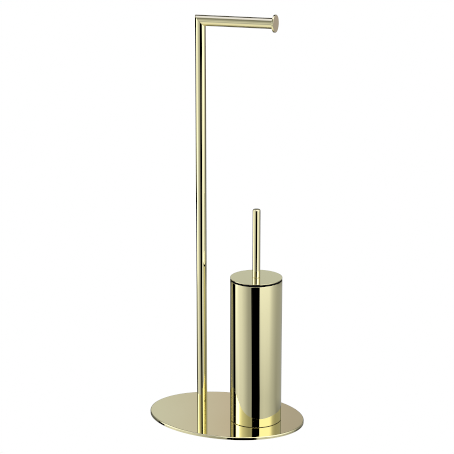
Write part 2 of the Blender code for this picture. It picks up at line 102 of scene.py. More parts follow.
STUDIO = [
    (-65.0, WARM, [
        (-180, 0.15), (-120, 0.20), (-90, 0.35), (-70, 0.92), (70, 0.92), (95, 0.35), (180, 0.15),
    ]),
    (-38.0, WARM, [
        (-180, 0.12), (-125, 0.12), (-95, 0.90), (95, 0.90), (125, 0.12), (180, 0.12),
    ]),
    (-27.0, NEUTRAL, [
        (-180, 0.30), (-128, 0.30), (-115, 0.0), (-106, 0.10), (-95, 0.77), (-28, 0.80),
        (-19.3, 0.35), (-18.3, 0.0), (17.4, 0.0), (18.7, 0.60), (60, 0.80), (95, 0.50),
        (105, 0.10), (180, 0.10),
    ]),
    (-23.0, NEUTRAL, LOW_FRONT + [(104, 0.20), (112, 0.08), (180, 0.08)]),
    (-21.6, NEUTRAL, LOW_FRONT + [(104, 0.345), (119, 0.38), (180, 0.36)]),
    (-17.3, NEUTRAL, [
        (-180, 0.24), (-132.5, 0.23), (-131, 0.0), (-106.6, 0.0), (-104.8, 1.25), (-97, 1.20),
        (-90.7, 1.06), (-84.6, 0.94), (-78, 0.89), (-68, 0.84), (-62.6, 0.756), (-57.5, 0.69),
        (-52.5, 0.627), (-47.6, 0.57), (-43, 0.487), (-38, 0.43), (-33.5, 0.38), (-24.1, 0.37),
        (-23.3, 0.0), (14.0, 0.0), (15.0, 1.0), (57.5, 0.98), (63, 0.91), (68, 0.80), (73, 0.71),
        (79, 0.613), (84.6, 0.545), (91, 0.49), (97, 0.45), (104, 0.415), (120, 0.387), (180, 0.40),
    ]),
    (-16.6, NEUTRAL, [
        (-180, 0.0), (-106, 0.0), (-103.7, 1.9), (-97, 1.8), (-90.7, 1.6), (-84.6, 1.35),
        (-78, 1.1), (-68, 0.88), (-62, 0.77), (-52, 0.62), (-43, 0.49), (-38, 0.44), (-33, 0.39),
        (-21, 0.37), (-20, 0.0), (17.5, 0.0), (18.5, 1.02), (57.5, 1.0), (68, 0.82), (79, 0.62),
        (91, 0.49), (104, 0.38), (111, 0.20), (150, 0.20), (180, 0.10),
    ]),
    (-13.0, NEUTRAL, [
        (-180, 0.0), (-108, 0.0), (-104, 1.9), (-97, 1.8), (-90, 1.6), (-84, 1.35), (-78, 1.1),
        (-68, 0.90), (-60, 0.80), (-50, 0.60), (-40, 0.50), (-33, 0.42), (-18, 0.38), (-17, 0.0),
        (23, 0.0), (24.5, 1.15), (62, 1.10), (68, 0.90), (76, 0.75), (84, 0.60), (97, 0.48),
        (106, 0.30), (110, 0.08), (150, 0.08), (180, 0.02),
    ]),
    (-8.0, NEUTRAL, [
        (-180, 0.01), (-108, 0.01), (-104, 1.40), (-84, 1.30), (-70, 1.0), (-60, 0.90), (-50, 0.62),
        (-40, 0.55), (-33, 0.50), (-11.5, 0.42), (-10.5, 0.0), (33, 0.0), (35, 1.30), (76, 1.30),
        (84, 0.75), (105, 0.50), (111, 0.10), (115, 0.06), (127, 0.06), (130, 0.42, BLUSH),
        (146, 0.42, BLUSH), (149, 0.06), (180, 0.02),
    ]),
    (-3.0, NEUTRAL, [
        (-180, 0.0), (-108, 0.0), (-104, 1.4), (-84, 1.3), (-68, 0.95), (-45, 0.85), (-30, 0.70),
        (-11.5, 0.42), (-10.5, 0.0), (33, 0.0), (35, 1.3), (72, 1.3), (88, 0.5), (127, 0.06),
        (130, 0.42, BLUSH), (146, 0.42, BLUSH), (149, 0.0), (180, 0.0),
    ]),
    (6.0, NEUTRAL, [
        (-180, 0.0), (-172, 0.0), (-166, 0.22), (-150, 0.25), (-128, 0.42), (-104, 0.62),
        (-60, 0.62), (-20, 0.42), (17, 0.42), (35, 1.0), (75, 1.0), (100, 0.5), (140, 0.25),
        (168, 0.22), (173, 0.0), (180, 0.0),
    ]),
    (15.7, NEUTRAL, [
        (-180, 0.0), (-150, 0.0), (-128, 0.40), (-106, 0.50), (-103, 2.2, MILK), (-80, 2.0, MILK),
        (-68, 1.0, MILK), (-45, 0.46), (-19, 0.35), (-18, 0.0), (20, 0.0), (21, 2.0, MILK),
        (50, 2.0, MILK), (70, 1.4, MILK), (90, 0.50), (125, 0.30), (150, 0.0), (180, 0.0),
    ]),
    (16.4, NEUTRAL, [
        (-180, 0.59, COOL), (-168, 0.61, COOL), (-164, 0.0), (-128, 0.40), (-106, 0.50),
        (-103, 2.2, MILK), (-80, 2.0, MILK), (-68, 1.0, MILK), (-45, 0.46), (-19, 0.35),
        (-18, 0.0), (20, 0.0), (21, 2.0, MILK), (50, 2.0, MILK), (70, 1.4, MILK), (90, 0.50),
        (125, 0.30), (164, 0.0), (168, 0.53, COOL), (180, 0.59, COOL),
    ]),
    (18.3, NEUTRAL, [
        (-180, 0.58, COOL), (-168, 0.61, COOL), (-164, 0.0), (-127, 0.40), (-124, 0.0),
        (-114, 0.0), (-112, 0.5), (-107, 0.7), (-104, 2.2, MILK), (-82, 1.9, MILK), (-65.8, 0.85),
        (-60, 0.76), (-50, 0.58), (-40, 0.44), (-31, 0.38), (-20.8, 0.36), (-19.8, 0.0),
        (16.5, 0.0), (17.5, 1.6, MILK), (50, 1.6, MILK), (70, 1.2, MILK), (80, 0.70), (90, 0.52),
        (100, 0.45), (150, 0.45), (164, 0.0), (168, 0.53, COOL), (180, 0.58, COOL),
    ]),
    (20.0, NEUTRAL, PLATE_ZONE),
    (24.2, NEUTRAL, PLATE_ZONE),
    (26.5, NEUTRAL, [
        (-180, 0.0), (-174.5, 0.0), (-171.5, 0.30), (-140, 0.22), (-115, 0.15), (-95, 0.60),
        (-60, 0.36), (-35, 0.30), (-20, 0.20), (-18, 0.0), (15, 0.0), (20, 0.80), (60, 0.80),
        (80, 0.50), (100, 0.30), (140, 0.22), (172, 0.30), (176, 0.0), (180, 0.0),
    ]),
    (33.0, NEUTRAL, [
        (-180, 0.0), (-173.5, 0.0), (-170.5, 0.30), (-142, 0.22), (-130, 1.3), (-70, 1.3),
        (-62, 0.27), (-38, 0.27), (-26, 1.5), (-20, 1.5), (-16, 0.0), (13, 0.0), (18, 1.5),
        (110, 1.3), (130, 0.2), (145, 0.22), (172, 0.30), (176, 0.0), (180, 0.0),
    ]),
    (58.0, NEUTRAL, [
        (-180, 0.0), (-140, 0.0), (-128, 0.90), (-68, 0.90), (-58, 0.22), (-40, 0.22), (-28, 1.8),
        (-16, 1.8), (-10, 0.2), (8, 0.2), (14, 1.8), (110, 1.3), (130, 0.2), (145, 0.0), (180, 0.0),
    ]),
    (60.5, NEUTRAL, [
        (-180, 0.99, SKY), (-58, 0.93, SKY), (-52, 0.30), (-40, 0.30), (-28, 2.2), (60, 2.0),
        (90, 0.93), (180, 0.99, SKY),
    ]),
    (70.0, NEUTRAL, [
        (-180, 0.99, SKY), (-50, 0.93, SKY), (-28, 2.6), (60, 2.4), (90, 0.93), (180, 0.99, SKY),
    ]),
    (82.0, NEUTRAL, [(-180, 1.1), (-60, 1.1), (-30, 2.4), (60, 2.4), (95, 1.1), (180, 1.1)]),
]

# The level that the ramps hold as 1
LEVEL_RANGE = 4.0
WHITE = (1.0, 1.0, 1.0, 1.0)
FLOOR_HALF = 40.0
FILTER_WIDTH = 1.1


# ---------------------------------------------------------------- mesh helpers


def filleted(corners, closed=False):
    """A dense outline from (radius, height, fillet) corners.

    Each fillet is an arc with a support point on either side of it, which keeps the wide faces
    beside it truly flat when they are shaded smooth.
    """
    count = len(corners)
    spots = [Vector(corner[:2]) for corner in corners]
    arcs = []
    for number, (radius, height, fillet) in enumerate(corners):
        if fillet <= 0.0 or (not closed and number in (0, count - 1)):
            arcs.append(None)
            continue
        before = (spots[number - 1] - spots[number]).normalized()
        after = (spots[(number + 1) % count] - spots[number]).normalized()
        half = 0.5 * before.angle(after)
        arcs.append((before, after, half, fillet / math.tan(half)))

    def support(number, other):
        taken = sum(arcs[place][3] for place in (number, other) if arcs[place])
        return min(SUPPORT, SUPPORT_SHARE * ((spots[other] - spots[number]).length - taken))

    points = []
    for number, corner in enumerate(spots):
        if arcs[number] is None:
            points.append(tuple(corner))
            continue
        before, after, half, reach = arcs[number]
        fillet = corners[number][2]
        centre = corner + (before + after).normalized() * (fillet / math.sin(half))
        start = corner + before * reach
        end = corner + after * reach
        points.append(tuple(start + before * support(number, number - 1)))
        first = (start - centre).normalized()
        last = (end - centre).normalized()
        for step in range(FILLET_STEPS + 1):
            spoke = first.slerp(last, step / FILLET_STEPS)
            points.append(tuple(centre + fillet * spoke.normalized()))
        points.append(tuple(end + after * support(number, (number + 1) % count)))
    return points


def turned(outline, segments, closed=False, hexagons=()):
    """A mesh turned about Z from (radius, height) points.

    Rings whose radius is in hexagons become hexagons with that half width across flats.
    """
    points = []
    rings = []
    for radius, height in outline:
        if radius < SAME_RADIUS:
            rings.append([len(points)])
            points.append((0.0, 0.0, height))
            continue
        rings.append(list(range(len(points), len(points) + segments)))
        flat = any(abs(radius - half) < SAME_RADIUS for half in hexagons)
        for step in range(segments):
            turn = 2.0 * math.pi * step / segments
            reach = radius
            if flat:
                reach /= math.cos(turn % HEXAGON_SIDE - HEXAGON_HALF_SIDE)
            points.append((reach * math.cos(turn), reach * math.sin(turn), height))
    pairs = list(zip(rings, rings[1:]))
    if closed:
        pairs.append((rings[-1], rings[0]))
    faces = []
    for low, high in pairs:
        for step in range(segments):
            following = (step + 1) % segments
            if len(low) == 1:
                faces.append((low[0], high[step], high[following]))
            elif len(high) == 1:
                faces.append((low[step], low[following], high[0]))
            else:
                faces.append((low[step], low[following], high[following], high[step]))
    mesh = bpy.data.meshes.new("turned")
    mesh.from_pydata(points, [], faces)
    return mesh


def outward(mesh):
    """Turns every face of a closed mesh outward."""
    form = bmesh.new()
    form.from_mesh(mesh)
    bmesh.ops.recalc_face_normals(form, faces=form.faces)
    form.to_mesh(mesh)
    form.free()


def piece(name, mesh, material, body, replaced, place=(0.0, 0.0, 0.0), turn=(0.0, 0.0, 0.0)):
    """A shown piece from a mesh, on a CAD body, standing for the CAD nodes that it replaces."""
    outward(mesh)
    mesh.name = name
    mesh.materials.append(material)
    mesh.shade_smooth()
    mesh.set_sharp_from_angle(angle=SHARP_ANGLE)
    obj = bpy.data.objects.new(name, mesh)
    bpy.context.scene.collection.objects.link(obj)
    obj.location = place
    obj.rotation_euler = turn
    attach(obj, body)
    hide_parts(*replaced)


def carve(mesh, cutters):
    """The mesh with each (mesh, place) cutter taken out of it."""
    target = bpy.data.objects.new("carve_target", mesh)
    bpy.context.scene.collection.objects.link(target)
    helpers = [target]
    for number, (shape, place) in enumerate(cutters):
        outward(shape)
        cutter = bpy.data.objects.new(f"cutter_{number}", shape)
        bpy.context.scene.collection.objects.link(cutter)
        cutter.location = place
        helpers.append(cutter)
        boolean = target.modifiers.new(f"cut_{number}", "BOOLEAN")
        boolean.operation = "DIFFERENCE"
        boolean.object = cutter
    outward(mesh)
    bpy.context.view_layer.update()
    graph = bpy.context.evaluated_depsgraph_get()
    result = bpy.data.meshes.new_from_object(target.evaluated_get(graph))
    for helper in helpers:
        bpy.data.objects.remove(helper, do_unlink=True)
    return result


def threaded(mesh, start, end, pitch, depth):
    """Cuts a helical thread into the outer wall of a turned mesh, between two heights."""
    wall = [vertex for vertex in mesh.vertices if start < vertex.co.z < end]
    crest = max(math.hypot(vertex.co.x, vertex.co.y) for vertex in wall)
    for vertex in wall:
        across = Vector(vertex.co[:2])
        if crest - across.length > SAME_WALL:
            continue
        phase = (vertex.co.z / pitch - math.atan2(across.y, across.x) / (2.0 * math.pi)) % 1.0
        fade = min((vertex.co.z - start) / pitch, (end - vertex.co.z) / pitch, 1.0)
        across *= 1.0 - fade * depth * abs(2.0 * phase - 1.0) / crest
        vertex.co.x, vertex.co.y = across


def levels(radius, low, high, pitch):
    """Outline points up a threaded wall, close enough together to carry the thread."""
    count = math.ceil((high - low) / pitch * THREAD_STEPS)
    return [(radius, low + (high - low) * step / count, 0.0) for step in range(count + 1)]


# ---------------------------------------------------------------- materials


class Graph:
    """A short way to write one material's nodes."""

    def __init__(self, name):
        self.material = bpy.data.materials.new(name)
        self.material.use_nodes = True
        self.tree = self.material.node_tree
        self.shader = self.tree.nodes["Principled BSDF"]
        self.place = self.tree.nodes.new("ShaderNodeTexCoord").outputs["Object"]

    def feed(self, socket, value):
        if isinstance(value, bpy.types.NodeSocket):
            self.tree.links.new(value, socket)
        else:
            socket.default_value = value

    def stretched(self, scale):
        mapping = self.tree.nodes.new("ShaderNodeMapping")
        self.feed(mapping.inputs["Vector"], self.place)
        mapping.inputs["Scale"].default_value = scale
        return mapping.outputs["Vector"]

    def noise(self, scale, detail=3.0, roughness=0.5, vector=None):
        made = self.tree.nodes.new("ShaderNodeTexNoise")
        self.feed(made.inputs["Vector"], self.place if vector is None else vector)
        made.inputs["Scale"].default_value = scale
        made.inputs["Detail"].default_value = detail
        made.inputs["Roughness"].default_value = roughness
        return made.outputs["Fac"]

    def remap(self, value, source, target=(0.0, 1.0)):
        """The value with its source range stretched onto the target range."""
        made = self.tree.nodes.new("ShaderNodeMapRange")
        self.feed(made.inputs["Value"], value)
        made.inputs["From Min"].default_value = source[0]
        made.inputs["From Max"].default_value = source[1]
        made.inputs["To Min"].default_value = target[0]
        made.inputs["To Max"].default_value = target[1]
        return made.outputs["Result"]

    def added(self, first, second):
        made = self.tree.nodes.new("ShaderNodeMath")
        made.operation = "ADD"
        self.feed(made.inputs[0], first)
        self.feed(made.inputs[1], second)
        return made.outputs["Value"]

    def blended(self, factor, first, second):
        made = self.tree.nodes.new("ShaderNodeMix")
        made.data_type = "RGBA"
        self.feed(made.inputs[MIX_FACTOR], factor)
        made.inputs[MIX_FIRST].default_value = (*first, 1.0)
        made.inputs[MIX_SECOND].default_value = (*second, 1.0)
        return made.outputs[MIX_RESULT]

    def bumped(self, height, distance, normal=None):
        made = self.tree.nodes.new("ShaderNodeBump")
        self.feed(made.inputs["Height"], height)
        made.inputs["Distance"].default_value = distance
        if normal is not None:
            self.feed(made.inputs["Normal"], normal)
        return made.outputs["Normal"]

    def surface(self, colour, roughness, normal=None, **constants):
        self.feed(self.shader.inputs["Base Color"], colour)
        self.feed(self.shader.inputs["Roughness"], roughness)
        if normal is not None:
            self.feed(self.shader.inputs["Normal"], normal)
        for key, value in constants.items():
            self.shader.inputs[key.replace("_", " ")].default_value = value
        return self.material


def brass_material():
    """Mirror-polished brass: faint tone drift, hairline polish marks and a very slight waviness."""
    light = (0.878, 0.808, 0.465)
    deep = (0.862, 0.792, 0.445)
    graph = Graph("polished_brass_finish")
    drift = graph.remap(graph.noise(9.0, detail=4.0), source=(0.35, 0.65))
    colour = graph.blended(drift, light, deep)
    haze = graph.noise(34.0, detail=5.0, roughness=0.6)
    hairlines = graph.noise(900.0, detail=2.0, vector=graph.stretched((1.0, 1.0, 0.04)))
    roughness = graph.added(
        graph.remap(haze, source=(0.35, 0.75), target=(0.016, 0.026)),
        graph.remap(hairlines, source=(0.55, 0.80), target=(0.0, 0.006)),
    )
    waves = graph.bumped(graph.noise(18.0, detail=1.0), distance=0.000002)
    scratches = graph.bumped(hairlines, distance=0.0000001, normal=waves)
    return graph.surface(colour, roughness, scratches, Metallic=1.0)


def steel_material():
    """Brushed stainless steel of the hidden fittings."""
    light = (0.66, 0.65, 0.63)
    dark = (0.50, 0.50, 0.49)
    graph = Graph("stainless_steel_finish")
    grain = graph.noise(260.0, detail=4.0, roughness=0.7, vector=graph.stretched((1.0, 1.0, 8.0)))
    colour = graph.blended(grain, light, dark)
    roughness = graph.remap(grain, source=(0.3, 0.7), target=(0.24, 0.40))
    return graph.surface(colour, roughness, graph.bumped(grain, distance=0.000006), Metallic=1.0)


def rubber_material():
    """Matte black rubber with a fine moulded grain and dusty high spots."""
    clean = (0.020, 0.020, 0.021)
    dusty = (0.050, 0.049, 0.047)
    graph = Graph("black_rubber_finish")
    grain = graph.noise(1400.0, detail=3.0, roughness=0.7)
    dust = graph.noise(90.0, detail=5.0, roughness=0.6)
    colour = graph.blended(graph.remap(dust, source=(0.4, 0.75)), clean, dusty)
    roughness = graph.remap(dust, source=(0.3, 0.7), target=(0.62, 0.82))
    return graph.surface(colour, roughness, graph.bumped(grain, distance=0.00004))


def plastic_material():
    """Black moulded plastic with spark-eroded texture and handling scuffs."""
    clean = (0.018, 0.018, 0.019)
    scuffed = (0.045, 0.045, 0.046)
    graph = Graph("black_plastic_finish")
    grain = graph.noise(2200.0, detail=2.0)
    scuffs = graph.noise(160.0, detail=6.0, roughness=0.7, vector=graph.stretched((1.0, 1.0, 0.2)))
    colour = graph.blended(graph.remap(scuffs, source=(0.45, 0.8)), clean, scuffed)
    roughness = graph.remap(scuffs, source=(0.3, 0.75), target=(0.36, 0.56))
    return graph.surface(colour, roughness, graph.bumped(grain, distance=0.00002))


def seal_material():
    """Soft dead-black plastic of the ring under the lid, faintly mottled."""
    dark = (0.003, 0.003, 0.003)
    pale = (0.007, 0.007, 0.007)
    graph = Graph("black_seal_finish")
    mottle = graph.noise(300.0, detail=4.0, roughness=0.6)
    colour = graph.blended(mottle, dark, pale)
    roughness = graph.remap(mottle, source=(0.3, 0.7), target=(0.68, 0.85))
    grain = graph.bumped(mottle, distance=0.00002)
    return graph.surface(colour, roughness, grain, Specular_IOR_Level=0.05)


def bristle_material():
    """Black nylon filaments, a little glossy, paler where they are worn."""
    fresh = (0.022, 0.022, 0.024)
    worn = (0.060, 0.060, 0.062)
    graph = Graph("bristle_finish")
    tone = graph.noise(420.0, detail=3.0)
    colour = graph.blended(tone, fresh, worn)
    roughness = graph.remap(tone, source=(0.3, 0.7), target=(0.34, 0.52))
    return graph.surface(colour, roughness, graph.bumped(tone, distance=0.00003))


BRASS = brass_material()
STEEL = steel_material()
RUBBER = rubber_material()
PLASTIC = plastic_material()
SEAL = seal_material()
BRISTLE = bristle_material()


# ---------------------------------------------------------------- base plate and pads

PLATE_TOP_FILLET = 0.0014
PLATE_FOOT_FILLET = 0.00015
PLATE_INSET = 0.004
HOLE_SLACK = 0.0003
HOLE_PAST = 0.0010
HEAD_LAND = 0.0004
PAD_RIM = 0.0022
PAD_HOLLOW = 0.0003
PAD_HOLLOW_EDGE = 0.0001
PAD_FOOT_EDGE = 0.00035
PAD_TOP_EDGE = 0.00015


def oval(half_x, half_y, outline, segments):
    """An oval slab from (inset, height) points, each inset square to the oval's edge."""
    points = []
    for inset, height in outline:
        for step in range(segments):
            turn = 2.0 * math.pi * step / segments
            across = Vector((math.cos(turn) / half_x, math.sin(turn) / half_y)).normalized()
            points.append((
                half_x * math.cos(turn) - inset * across.x,
                half_y * math.sin(turn) - inset * across.y,
                height,
            ))
    faces = [tuple(range(segments))]
    for level in range(len(outline) - 1):
        for step in range(segments):
            following = (step + 1) % segments
            low = level * segments
            high = low + segments
            faces.append((low + step, low + following, high + following, high + step))
    top = (len(outline) - 1) * segments
    faces.append(tuple(range(top, top + segments)))
    mesh = bpy.data.meshes.new("oval")
    mesh.from_pydata(points, [], faces)
    return mesh


def screw_hole(node, top):
    """The countersunk hole that a screw node sits in, up to a height."""
    low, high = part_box(node)
    head = (high.x - low.x) / 2.0 + HOLE_SLACK
    shank = head / 2.0 + (HOLE_SLACK / 2.0)
    land = low.z + HEAD_LAND + HOLE_SLACK
    cone = land + (head - shank)
    start = low.z - HOLE_PAST
    outline = [(0.0, start), (head, start), (head, land), (shank, cone), (shank, top), (0.0, top)]
    return turned(outline, SMALL)


def base_plate():
    low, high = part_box("base_plate")
    half = (high - low) / 2.0
    side = filleted([
        (PLATE_INSET, low.z, 0.0),
        (0.0, low.z, PLATE_FOOT_FILLET),
        (0.0, high.z, PLATE_TOP_FILLET),
        (PLATE_INSET, high.z, 0.0),
    ])
    mesh = oval(half.x, half.y, side, 2 * ROUND)
    cutters = []
    for node in ("post_screw", "holder_screw_1", "holder_screw_2", "holder_screw_3"):
        near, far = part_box(node)
        centre = (near + far) / 2.0
        cutters.append((screw_hole(node, high.z + HOLE_PAST), (centre.x, centre.y, 0.0)))
    mesh = carve(mesh, cutters)
    piece("plate", mesh, BRASS, "stand", ["base_plate"])


def plate_pads():
    for number in range(1, 7):
        node = f"pad_{number}"
        low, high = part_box(node)
        centre = (low + high) / 2.0
        height = high.z - low.z
        radius = (high.x - low.x) / 2.0
        outline = filleted([
            (0.0, PAD_HOLLOW, 0.0),
            (radius - PAD_RIM, PAD_HOLLOW, PAD_HOLLOW_EDGE),
            (radius - PAD_RIM, 0.0, PAD_HOLLOW_EDGE),
            (radius, 0.0, PAD_FOOT_EDGE),
            (radius, height, PAD_TOP_EDGE),
            (0.0, height, 0.0),
        ])
        mesh = turned(outline, SMALL)
        place = (centre.x, centre.y, 0.0)
        piece(f"pad_grip_{number}", mesh, RUBBER, "stand", [node], place)


# ---------------------------------------------------------------- post and roll arm

ALONG_X = (0.0, math.radians(90.0), 0.0)
TUBE_SEGMENTS = 128
TUBE_WALL = 0.0012
MITRE_EDGE = 0.00018
END_EDGE = 0.00025
CAP_THICKNESS = 0.003
CAP_BACK_EDGE = 0.0003
CAP_FRONT_EDGE = 0.0006
SPIGOT_GAP = 0.0003
SPIGOT_EDGE = 0.0005


def mitred(length, radius, slope):
    """A tube along Z, cut at 45 degrees at its far end if slope is below zero, else at its near end."""
    inner = radius - TUBE_WALL
    far = MITRE_EDGE if slope < 0.0 else END_EDGE
    near = 0.0 if slope < 0.0 else MITRE_EDGE
    outline = filleted([
        (inner, 0.0, 0.0),
        (radius, 0.0, near),
        (radius, length, far),
        (inner, length, 0.0),
    ], closed=True)
    mesh = turned(outline, TUBE_SEGMENTS, closed=True)
    for vertex in mesh.vertices:
        if (vertex.co.z > 0.5 * length) == (slope < 0.0):
            vertex.co.z += slope * vertex.co.x
    return mesh


def post_and_arm():
    low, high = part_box("upright_tube")
    radius = (high.y - low.y) / 2.0
    axis_x = low.x + radius
    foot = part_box("base_plate")[1].z
    length = high.z - foot - radius
    post = mitred(length, radius, -1.0)
    piece("post_tube", post, BRASS, "stand", ["upright_tube"], (axis_x, 0.0, foot))

    low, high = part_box("arm_tube")
    arm_z = (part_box("end_cap")[0].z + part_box("end_cap")[1].z) / 2.0
    near = low.x + radius
    arm = mitred(high.x - near, radius, 1.0)
    place = (near, 0.0, arm_z)
    piece("roll_arm", arm, BRASS, "stand", ["arm_tube"], place, ALONG_X)

    low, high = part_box("end_cap")
    rim = (high.y - low.y) / 2.0
    spigot = radius - TUBE_WALL - SPIGOT_GAP
    depth = high.x - low.x - CAP_THICKNESS
    outline = filleted([
        (0.0, -depth, 0.0),
        (spigot, -depth, SPIGOT_EDGE),
        (spigot, 0.0, 0.0),
        (rim, 0.0, CAP_BACK_EDGE),
        (rim, CAP_THICKNESS, CAP_FRONT_EDGE),
        (0.0, CAP_THICKNESS, 0.0),
    ])
    cap = turned(outline, ROUND)
    place = (high.x - CAP_THICKNESS, 0.0, arm_z)
    piece("arm_end_cap", cap, BRASS, "stand", ["end_cap"], place, ALONG_X)


# ---------------------------------------------------------------- brush holder

SHELL_WALL = 0.0012
SHELL_DROP = 0.0004
SHELL_EDGE = 0.0002
LIP_EDGE = 0.0005
GASKET_WIDTH = 0.008
GASKET_EDGE = 0.0001
CUP_DRAFT = 0.0008
CUP_BEAD = 0.0004
CUP_BEAD_HEIGHT = 0.004
CUP_BEAD_BLEND = 0.0010
CUP_BEAD_EDGE = 0.0005
CUP_WALL = 0.0015
CUP_FOOT_DEPTH = 0.0062
CUP_FOOT_EDGE = 0.0004
CUP_HEEL_EDGE = 0.0006
CUP_FLOOR = 0.0018
CUP_FLOOR_BLEND = 0.0030
CUP_RIM_OUTER_EDGE = 0.0007
CUP_RIM_INNER_EDGE = 0.0006


def brush_holder():
    low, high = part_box("holder_shell")
    centre = (low + high) / 2.0
    radius = (high.y - low.y) / 2.0
    inner = radius - SHELL_WALL
    foot = low.z - SHELL_DROP
    height = high.z - foot
    outline = filleted([
        (inner, 0.0, SHELL_EDGE),
        (radius, 0.0, SHELL_EDGE),
        (radius, height, LIP_EDGE),
        (inner, height, SHELL_EDGE),
    ], closed=True)
    shell = turned(outline, ROUND, closed=True)
    place = (centre.x, 0.0, foot)
    piece("brush_holder", shell, BRASS, "stand", ["holder_shell"], place)

    low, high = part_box("holder_gasket")
    outer = (high.y - low.y) / 2.0
    outline = filleted([
        (outer - GASKET_WIDTH, 0.0, 0.0),
        (outer, 0.0, GASKET_EDGE),
        (outer, high.z - low.z, GASKET_EDGE),
        (outer - GASKET_WIDTH, high.z - low.z, 0.0),
    ], closed=True)
    ring = turned(outline, ROUND, closed=True)
    place = (centre.x, 0.0, low.z)
    piece("foot_gasket", ring, RUBBER, "stand", ["holder_gasket"], place)


def inner_cup():
    low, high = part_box("inner_cup")
    centre = (low + high) / 2.0
    rim = (high.y - low.y) / 2.0
    wall_top = rim - CUP_BEAD
    foot = rim - CUP_DRAFT
    height = high.z - low.z
    inner = foot - CUP_WALL
    outline = filleted([
        (0.0, CUP_FOOT_DEPTH, 0.0),
        (inner, CUP_FOOT_DEPTH, CUP_FOOT_EDGE),
        (inner, 0.0, CUP_FOOT_EDGE),
        (foot, 0.0, CUP_HEEL_EDGE),
        (wall_top, height - CUP_BEAD_HEIGHT - CUP_BEAD, CUP_BEAD_BLEND),
        (rim, height - CUP_BEAD_HEIGHT, CUP_BEAD_EDGE),
        (rim, height, CUP_RIM_OUTER_EDGE),
        (rim - CUP_WALL, height, CUP_RIM_INNER_EDGE),
        (inner, CUP_FOOT_DEPTH + CUP_FLOOR, CUP_FLOOR_BLEND),
        (0.0, CUP_FOOT_DEPTH + CUP_FLOOR, 0.0),
    ])
    cup = turned(outline, ROUND)
    place = (centre.x, 0.0, low.z)
    piece("cup_liner", cup, PLASTIC, "liner", ["inner_cup"], place)


# ---------------------------------------------------------------- lid and handle

STEM_HOLE = 0.0033
LID_RELIEF = 0.0005
LID_FOOT_EDGE = 0.0001
LID_TOP_EDGE = 0.0003
RING_THICKNESS = 0.0024
RING_EDGE = 0.00015
LIP_RISE = 0.0003
SKIRT_GAP = 0.0006
SKIRT_WALL = 0.0016
SKIRT_INNER_EDGE = 0.0004
SKIRT_TIP_EDGE = 0.0005
HANDLE_WALL = 0.0012
HANDLE_END = 0.002
HANDLE_FOOT_EDGE = 0.0002
HANDLE_CROWN = 0.0012
HANDLE_SHOULDER = 0.5
HANDLE_CROWN_SHARE = 0.22
HANDLE_SIDE_BLEND = 0.0023
HANDLE_TOP_BLEND = 0.0024


def lid_and_handle():
    low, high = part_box("lid_disc")
    centre = (low + high) / 2.0
    radius = (high.y - low.y) / 2.0
    underside = low.z + LID_RELIEF
    outline = filleted([
        (STEM_HOLE, underside, 0.0),
        (radius, underside, LID_FOOT_EDGE),
        (radius, high.z, LID_TOP_EDGE),
        (STEM_HOLE, high.z, 0.0),
    ], closed=True)
    lid = turned(outline, ROUND, closed=True)
    piece("lid", lid, BRASS, "brush", ["lid_disc"], (centre.x, 0.0, 0.0))

    low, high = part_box("lid_ring")
    flange = (high.y - low.y) / 2.0
    skirt = radius - SHELL_WALL - SKIRT_GAP
    lip = high.z - RING_THICKNESS + LIP_RISE
    top = high.z + LID_RELIEF
    outline = filleted([
        (STEM_HOLE, top, 0.0),
        (STEM_HOLE, high.z - RING_THICKNESS, 0.0),
        (skirt - SKIRT_WALL, high.z - RING_THICKNESS, SKIRT_INNER_EDGE),
        (skirt - SKIRT_WALL, low.z, SKIRT_INNER_EDGE),
        (skirt, low.z, SKIRT_TIP_EDGE),
        (skirt, lip, 0.0),
        (flange, lip, RING_EDGE),
        (flange, top, RING_EDGE),
    ], closed=True)
    ring = turned(outline, ROUND, closed=True)
    piece("lid_seal", ring, SEAL, "brush", ["lid_ring"], (centre.x, 0.0, 0.0))

    low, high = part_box("handle_rod")
    radius = (high.y - low.y) / 2.0
    bore = radius - HANDLE_WALL
    shoulder = high.z - HANDLE_CROWN_SHARE * HANDLE_CROWN
    outline = filleted([
        (0.0, high.z - HANDLE_END, 0.0),
        (bore, high.z - HANDLE_END, 0.0),
        (bore, low.z, 0.0),
        (radius, low.z, HANDLE_FOOT_EDGE),
        (radius, high.z - HANDLE_CROWN, HANDLE_SIDE_BLEND),
        (HANDLE_SHOULDER * radius, shoulder, HANDLE_TOP_BLEND),
        (0.0, high.z, 0.0),
    ])
    rod = turned(outline, SMALL)
    piece("handle", rod, BRASS, "brush", ["handle_rod"], (centre.x, 0.0, 0.0))


# ---------------------------------------------------------------- bristles

TUFT_SEED = 7
TUFT_HUB = 0.0083
TUFT_ROOT_DEPTH = 0.0012
TUFT_TIP = 0.020
TUFT_SHOULDER = 0.006
TUFT_ROWS = 15
TUFTS_ROUND = 20
TUFT_STRANDS = 9
TUFT_LOW = 0.016
TUFT_SPAN_CUT = 0.022
LEAN_SPREAD = 0.065
RISE_SPREAD = 0.0022
ROOT_RISE_SHARE = 0.3
LOW_ROW_DROOP = 0.006
STRAND_LOW = 0.004
STRAND_TOP_GAP = 0.0005
TRIM_GAP = 0.0004
TRIM_SPREAD = 0.0005
STRAND_RADIUS = 0.00028
STRAND_BEND = 0.0006
STRAND_SIDES = 5
STRAND_WIDTHS = (1.0, 0.95, 0.8, 0.35)
TIP_RINGS = ((0.0015, 6), (0.0045, 12), (0.0070, 16))
TIP_RING_WIDEST = 0.0070
TIP_INNER = 0.004
TIP_REACH = 0.020
TIP_FLARE = (0.7, 1.0)
TIP_ROOT_HEIGHT = 0.0152


